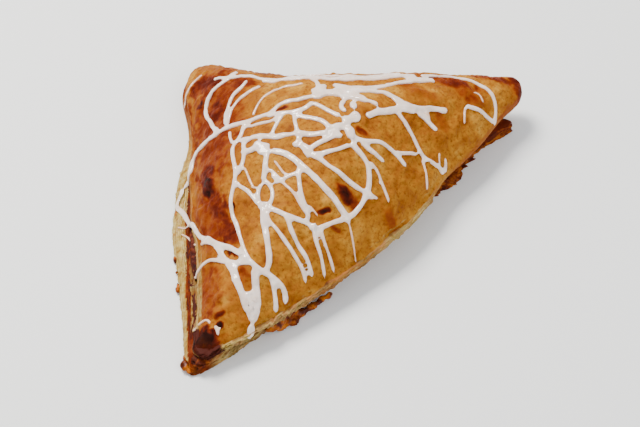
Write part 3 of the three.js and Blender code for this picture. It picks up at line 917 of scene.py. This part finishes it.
# %% Strings on the front face
STRINGS += [
    (1.7, [(0.6, 5.8), (3.1, 4.9), (6.2, 5.4), (8.9, 6.1), (11.4, 6.1), (14.4, 5.4),
           (16, 4.3), (17.4, 3.3), (18.6, 2.5)]),
    (1.4, [(14.6, 5.6), (17.2, 6.4), (19.8, 7.6), (22.6, 9)]),
    (1.7, [(3.2, 4.6), (4.7, 3.7), (6.8, 2.6), (8.8, 1.7), (11.4, 1.1)]),
    (1.9, [(0.4, 4), (1.4, 2), (2.8, 1), (4.2, -0.1), (5.3, -1.5), (5.9, -3.2), (6.1, -5),
           (6.1, -7), (5.6, -9), (4.9, -11), (3.8, -13), (2.4, -14.8), (0.9, -16.5),
           (-1, -18)]),
    (1.2, [(6, -0.8), (7.2, -1.6), (8.8, -2.8), (10, -5.1), (10.9, -6.8), (11.8, -8.5),
           (12.6, -10.5)]),
    (0.9, [(9.6, -5.4), (9.2, -6.2)]),
    (2.2, [(5, -9.6), (6.4, -10.3), (7.4, -10.9)]),
    (1.1, [(6.4, -10), (8, -10.2), (9.2, -10.1)]),
    (2.6, [(-0.2, -17.4), (-1.2, -18.4), (-2.2, -18.6)]),
    (1.8, [(-1.6, -18.6), (-3.4, -19.4), (-5.8, -20.6), (-8.2, -22), (-10.6, -22.9)]),
    (2.8, [(-10.8, -23), (-12.4, -22.6), (-13, -21.6)]),
    (1.7, [(-12.6, -22.4), (-15.5, -21.6), (-18, -21.3), (-20.4, -20.7), (-23, -19.4),
           (-25, -18.4), (-27, -17.2)]),
    (3.4, [(-28.8, -14.8), (-28.4, -16.4), (-27, -17.4)]),
    (1.5, [(-37, -5.6), (-36, -7.5), (-33.4, -10), (-31.7, -12.6), (-30.2, -15), (-28.6, -16.4)]),
    (2.0, [(-28, -17), (-28, -21.2), (-27.2, -24.4), (-26.6, -28.3), (-26, -32.4),
           (-26.1, -34.6), (-27, -36.6)]),
    (1.4, [(-27, -18.6), (-26.2, -21.4), (-24.2, -24), (-22.2, -26.3), (-20, -28.5),
           (-17.9, -30.8), (-15.9, -33), (-14.8, -35), (-14.4, -37)]),
    (1.5, [(-21, -20.4), (-19.9, -22.4), (-19.1, -24.8), (-17.5, -27.1), (-15.5, -29.3),
           (-14.1, -31), (-13, -32.8), (-12.4, -35)]),
    (1.4, [(-11.8, -23), (-11.6, -24.8), (-11, -26.6), (-9.8, -28.9), (-9, -31.2),
           (-8.3, -33.6)]),
    (1.3, [(-10, -22.8), (-9.2, -24.2), (-8.5, -26.2), (-7.2, -28), (-6.2, -29.8),
           (-5.3, -31.8)]),
    (0.8, [(-0.7, -18.6), (0.2, -21.5), (0.9, -24), (1.5, -26), (1.9, -27.4)]),
]
print("icing strings:", len(STRINGS))

# %% [markdown]
# Between its listed places a string bends smoothly, and its width swells and thins a little, as
# a falling string's does. All strings become one curve object, which is turned into a mesh. To
# make the strings run together, the tubes are made too fat on purpose, remeshed into one skin,
# smoothed, and pulled back in by the same amount. Convex places return to their size, and the
# corners between strings stay filled, as surface tension fills them.

# %% Lay the strings on the crust
skin = BVHTree.FromObject(crust, bpy.context.evaluated_depsgraph_get())
FATTER = 0.34  # how much wider the tubes start than the strings end up, in mm from the middle
LIFT = 0.12  # how far a string's middle lies above the crust, in mm
SPACING = 0.7  # between the points of a string, in mm
DRIFT = 0.8  # how far the whole web lies towards -X of its tables, in mm


def smooth_line(places):
    """Evenly spaced places on a smooth curve through the given ones."""
    p = np.array(places, float)
    p = np.vstack([2 * p[0] - p[1], p, 2 * p[-1] - p[-2]])
    line = []
    for a, b, c, d in zip(p[:-3], p[1:-2], p[2:-1], p[3:]):
        count = max(2, int(np.linalg.norm(c - b) / SPACING))
        for t in np.arange(count) / count:
            line.append(0.5 * (2 * b + (c - a) * t + (2 * a - 5 * b + 4 * c - d) * t**2
                               + (3 * b - a - 3 * c + d) * t**3))
    line.append(p[-2])
    return np.array(line)


def drop(x, y):
    """Where a ray from above meets the crust, in mm, and the crust's normal there."""
    hit, normal, _, _ = skin.ray_cast(Vector((x, y, 80)) * MM, Vector((0, 0, -1)))
    return (None, None) if hit is None else (hit / MM, normal)


bpy.ops.curve.primitive_bezier_curve_add()
tubes = bpy.context.object
tubes.name = "icing"
curve = tubes.data
curve.splines.clear()
curve.bevel_depth = MM
curve.bevel_resolution = 2
curve.use_fill_caps = True
string_points, string_widths = [], []
for number, (width, places) in enumerate(STRINGS):
    # a height of -1 stands for a place that lies on the crust
    free = [(place[0] - DRIFT, place[1], place[2] if len(place) == 3 else -1.0) for place in places]
    laid = []
    for x, y in smooth_line([(x, y) for x, y, _ in free]):
        hit, normal = drop(x, y)
        nearest = min(free, key=lambda f: (f[0] - x) ** 2 + (f[1] - y) ** 2)
        if nearest[2] > 0:
            laid.append((x, y, nearest[2]))
        elif hit is not None:
            laid.append(tuple(hit + normal * LIFT))
    if len(laid) < 2:
        continue
    laid = np.array(laid)
    for _ in range(2):
        laid[1:-1] = laid[1:-1] * 0.5 + (laid[:-2] + laid[2:]) * 0.25
    spline = curve.splines.new("POLY")
    spline.points.add(len(laid) - 1)
    length = np.arange(len(laid)) * SPACING
    pulse = 1 + 0.13 * wander(length, 3.5, 300 + number) + 0.07 * wander(length, 1.3, 400 + number)
    from_end = np.minimum(length, length[-1] - length) / (0.55 * width)
    taper = np.sqrt(np.clip(1 - (1 - np.clip(from_end, 0, 1)) ** 2, 0.03, 1))
    for k, (x, y, z) in enumerate(laid):
        radius = 0.5 * width * pulse[k] * taper[k]
        spline.points[k].co = (x * MM, y * MM, z * MM, 1)
        spline.points[k].radius = radius + FATTER * (0.3 + 0.7 * taper[k])
        string_points.append((x, y, z))
        string_widths.append(width)
active(tubes)
bpy.ops.object.convert(target="MESH")
icing = bpy.context.object
print("string points:", len(string_points))

# %% Run the strings together
apply_modifier(icing, "REMESH", mode="VOXEL", voxel_size=0.34 * MM)
apply_modifier(icing, "SMOOTH", factor=0.5, iterations=4)
apply_modifier(icing, "DISPLACE", strength=-FATTER * MM, mid_level=0)
apply_modifier(icing, "SMOOTH", factor=0.4, iterations=2)
apply_modifier(icing, "DECIMATE", ratio=0.76)
print("icing triangles:", triangles(icing))

# %% [markdown]
# Icing is runny, so however wide a pool is, it lies nearly flat, about a millimetre thick, with
# a rounded rim. Each point's height above the crust is therefore pressed down towards that
# limit. Narrow strings are thin enough for the crust's colour to show through, so every point
# keeps how thin its string is in an attribute.

# %% Flatten the pools
POOL_HEIGHT = 1.1
CHUNK = 4000  # points looked at in one go, to spare memory
points = points_of(icing)
flat_points = points.copy()
for k, p in enumerate(points):
    hit, normal, _, _ = skin.find_nearest(Vector(p) * MM)
    away = Vector(p) - hit / MM
    height = away.dot(normal)
    if 0 < height < 4:
        pressed = POOL_HEIGHT * (1 - math.exp(-height / POOL_HEIGHT))
        flat_points[k] = p - np.array(normal) * (height - pressed)
set_points(icing, flat_points)
string_points = np.array(string_points)
string_widths = np.array(string_widths)
thin = np.zeros(len(points))
for start in range(0, len(points), CHUNK):
    chunk = points[start:start + CHUNK]
    away = ((chunk[:, None, :] - string_points[None]) ** 2).sum(axis=2)
    reach = np.sqrt(away) - string_widths[None] * 0.5
    widest = np.where(reach < 0.5, string_widths[None], 0).max(axis=1)
    thin[start:start + CHUNK] = 1 - step(widest, 0.8, 1.7)
set_attribute(icing, "thin", thin)
active(icing)
bpy.ops.object.shade_smooth()

# %% [markdown]
# ## Finishes
# All colours are laid by noise in the object's own coordinates and by the attributes made above,
# so nothing has to be unwrapped and nothing slides when the pastry is turned. One class keeps the
# node lists short: it holds a material and adds a noise, a ramp of colours, a mix or a bump to it.

# %% A finish and its parts


def srgb(r, g, b):
    """A linear colour from the 0 to 255 numbers that a colour picker shows."""
    def linear(c):
        c /= 255
        return c / 12.92 if c <= 0.04045 else ((c + 0.055) / 1.055) ** 2.4
    return (linear(r), linear(g), linear(b), 1)


class Finish:
    """A material. Where a method takes a value, that is a number, a colour or a node's output."""

    def __init__(self, name):
        self.material = bpy.data.materials.new(name)
        self.material.use_nodes = True
        self.shader = self.material.node_tree.nodes["Principled BSDF"]

    def node(self, kind, **settings):
        node = self.material.node_tree.nodes.new("ShaderNode" + kind)
        for name, value in settings.items():
            setattr(node, name, value)
        return node

    def put(self, value, socket):
        if isinstance(value, bpy.types.NodeSocket):
            self.material.node_tree.links.new(value, socket)
        else:
            socket.default_value = value

    def noise(self, scale, detail=4.0, roughness=0.55):
        """A noise on Object coordinates; scale is in bumps per metre."""
        texture = self.node("TexNoise")
        self.put(self.node("TexCoord").outputs["Object"], texture.inputs["Vector"])
        for name, value in (("Scale", scale), ("Detail", detail), ("Roughness", roughness)):
            self.put(value, texture.inputs[name])
        return texture.outputs["Fac"]

    def ramp(self, value, stops):
        """Colours for a value; each stop is a position and a colour picker's three numbers."""
        node = self.node("ValToRGB")
        elements = node.color_ramp.elements
        first, *middle, last = [(position, srgb(*numbers)) for position, *numbers in stops]
        elements[0].position, elements[0].color = first
        elements[1].position, elements[1].color = last
        for position, colour in middle:
            elements.new(position).color = colour
        self.put(value, node.inputs["Fac"])
        return node.outputs["Color"]

    def fit(self, value, low, high, to_low=0.0, to_high=1.0):
        """Maps a value from the range low to high into the range to_low to to_high."""
        node = self.node("MapRange")
        names = ("Value", "From Min", "From Max", "To Min", "To Max")
        for name, number in zip(names, (value, low, high, to_low, to_high)):
            self.put(number, node.inputs[name])
        return node.outputs["Result"]

    def mix(self, factor, first, second):
        """One colour over another, by a factor."""
        node = self.node("Mix", data_type="RGBA")
        for name, value in (("Factor", factor), ("A", first), ("B", second)):
            self.put(value, [i for i in node.inputs if i.name == name and i.enabled][0])
        return [o for o in node.outputs if o.enabled][0]

    def math(self, operation, first, second):
        node = self.node("Math", operation=operation)
        self.put(first, node.inputs[0])
        self.put(second, node.inputs[1])
        return node.outputs[0]

    def attribute(self, name):
        return self.node("Attribute", attribute_name=name).outputs["Fac"]

    def strata(self):
        """How dark the fine lines between dough layers are, from the strata attribute."""
        lines = self.node("TexNoise", noise_dimensions="1D")
        self.put(1.5, lines.inputs["Scale"])
        self.put(3.0, lines.inputs["Detail"])
        shift = self.math("MULTIPLY", self.noise(130, 3.0), 2.4)
        self.put(self.math("ADD", self.attribute("strata"), shift), lines.inputs["W"])
        return self.fit(lines.outputs["Fac"], 0.50, 0.60, 0.0, 0.5)

    def bump(self, height, strength, distance_mm):
        node = self.node("Bump")
        self.put(strength, node.inputs["Strength"])
        self.put(distance_mm * MM, node.inputs["Distance"])
        self.put(height, node.inputs["Height"])
        self.put(node.outputs["Normal"], self.shader.inputs["Normal"])

    def shade(self, settings):
        """Sets the shader's inputs by their names."""
        for name, value in settings.items():
            self.put(value, self.shader.inputs[name])


# %% Baked crust
baked = Finish("baked_crust")
broad = baked.noise(75, 3.0, 0.6)
medium = baked.noise(260, 4.0, 0.6)
fine = baked.noise(900, 4.0, 0.65)
tone = baked.math("ADD", baked.math("MULTIPLY", broad, 0.55), baked.math("MULTIPLY", medium, 0.45))
gold = baked.ramp(
    tone, [(0.32, 114, 56, 8), (0.42, 146, 84, 14), (0.53, 168, 108, 22), (0.64, 190, 136, 48)]
)
specks = baked.fit(fine, 0.34, 0.50, 0.35, 1.0)
gold = baked.mix(specks, srgb(104, 44, 4), gold)
toasted = baked.math("MULTIPLY", baked.attribute("toast"), baked.fit(medium, 0.36, 0.62, 0.7, 1.18))
browned = baked.ramp(toasted, [(0.0, 150, 82, 2), (0.35, 124, 46, 0), (0.62, 84, 19, 0), (0.95, 32, 5, 0)])
gold = baked.mix(baked.fit(toasted, 0.02, 0.45), gold, browned)
cream = baked.ramp(
    baked.noise(420, 3.0), [(0.35, 146, 106, 38), (0.5, 180, 150, 76), (0.68, 206, 184, 118)]
)
streaks = baked.math("MULTIPLY", baked.strata(), 1.4)
cream = baked.mix(streaks, cream, srgb(122, 76, 24))
juice = baked.ramp(medium, [(0.35, 40, 8, 0), (0.55, 88, 26, 0), (0.7, 140, 60, 2)])
surface = baked.mix(baked.attribute("cut"), gold, cream)
baked.shade({
    "Base Color": baked.mix(baked.attribute("syrup"), surface, juice),
    "Roughness": baked.fit(medium, 0.3, 0.7, 0.55, 0.8),
    "Subsurface Weight": 0.06,
    "Subsurface Radius": (0.004, 0.002, 0.001),
    "Specular IOR Level": 0.08,
})
baked.bump(baked.math("ADD", medium, baked.math("MULTIPLY", fine, 0.5)), 0.8, 0.4)
crust.data.materials.append(baked.material)

# %% Torn layers
torn = Finish("torn_layers")
along = torn.noise(330, 4.0, 0.6)
cream = torn.ramp(along, [(0.32, 144, 112, 46), (0.46, 186, 164, 94), (0.64, 216, 202, 144)])
browning = torn.math("MULTIPLY", torn.attribute("shade"), 0.8)
browning = torn.math("MULTIPLY", browning, torn.fit(along, 0.40, 0.58))
cream = torn.mix(browning, cream, srgb(158, 92, 26))
# painted shade: the inner part of each layer, under the rim of the next layer, is darkened
crevice_shade = torn.fit(torn.attribute("tip"), 0.45, 0.75, 0.7, 0.0)
cream = torn.mix(crevice_shade, cream, srgb(112, 58, 14))
cream = torn.mix(torn.strata(), cream, srgb(112, 76, 24))
browned = torn.ramp(along, [(0.35, 72, 16, 0), (0.48, 124, 48, 2), (0.62, 176, 96, 18)])
surface = torn.mix(torn.attribute("pale"), browned, cream)
surface = torn.mix(torn.attribute("soaked"), surface, srgb(64, 16, 3))
# the syrup on the layers is dark red-brown, and darker still as painted shade for the front edge under the
# lid
juice = torn.ramp(along, [(0.35, 30, 4, 0), (0.50, 68, 19, 0), (0.64, 120, 58, 0)])
torn.shade({
    "Base Color": torn.mix(torn.attribute("syrup"), surface, juice),
    "Roughness": 0.7,
    "Specular IOR Level": 0.15,
    "Subsurface Weight": 0.04,
    "Subsurface Radius": (0.003, 0.002, 0.001),
})
torn.bump(torn.noise(1400, 3.0), 0.5, 0.2)
flakes.data.materials.append(torn.material)

# %% Baked syrup
candied = Finish("baked_syrup")
lumps = candied.noise(300, 3.0)
thick = candied.ramp(lumps, [(0.40, 26, 3, 0), (0.50, 64, 14, 0), (0.62, 120, 52, 0)])
amber = candied.ramp(lumps, [(0.40, 70, 20, 0), (0.50, 118, 50, 0), (0.62, 172, 92, 2)])
candied.shade({
    "Base Color": candied.mix(candied.attribute("thin"), thick, amber),
    "Roughness": 0.32,
    "Specular IOR Level": 0.12,
})
candied.bump(lumps, 0.4, 0.3)
filling.data.materials.append(candied.material)

# %% Soaked dough in the groove
soaked = Finish("soaked_dough")
maroon = soaked.ramp(soaked.noise(380, 3.0), [(0.38, 40, 8, 2), (0.50, 74, 18, 3), (0.64, 112, 46, 10)])
soaked.shade({"Base Color": maroon, "Roughness": 0.65, "Specular IOR Level": 0.15})
filling.data.materials.append(soaked.material)
for face in filling.data.polygons:
    face.material_index = int(in_groove[face.vertices[0]])

# %% Icing
iced = Finish("sugar_icing")
cloud = iced.noise(220, 2.0)
white = iced.ramp(cloud, [(0.35, 234, 210, 194), (0.65, 246, 228, 216)])
sheer = iced.fit(iced.attribute("thin"), 0.0, 1.0, 0.0, 0.62)
iced.shade({
    "Base Color": iced.mix(sheer, white, srgb(226, 170, 126)),
    "Roughness": 0.2,
    "Subsurface Weight": 0.3,
    "Subsurface Radius": (0.0012, 0.0009, 0.0007),
    "Coat Weight": 0.5,
    "Coat Roughness": 0.08,
})
iced.bump(cloud, 0.15, 0.2)
icing.data.materials.append(iced.material)

# %% [markdown]
# ## Put the pieces in their places
# Each piece rides on the one body and stands for its imported node, which is hidden.

# %% Ride and replace
for piece, slot in [(crust, "pastry"), (flakes, "pastry"), (filling, "filling"), (icing, "pastry")]:
    active(piece)
    bpy.ops.object.transform_apply(location=True, rotation=True, scale=True)
    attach(piece, "root")
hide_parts("pastry")
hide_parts("filling")
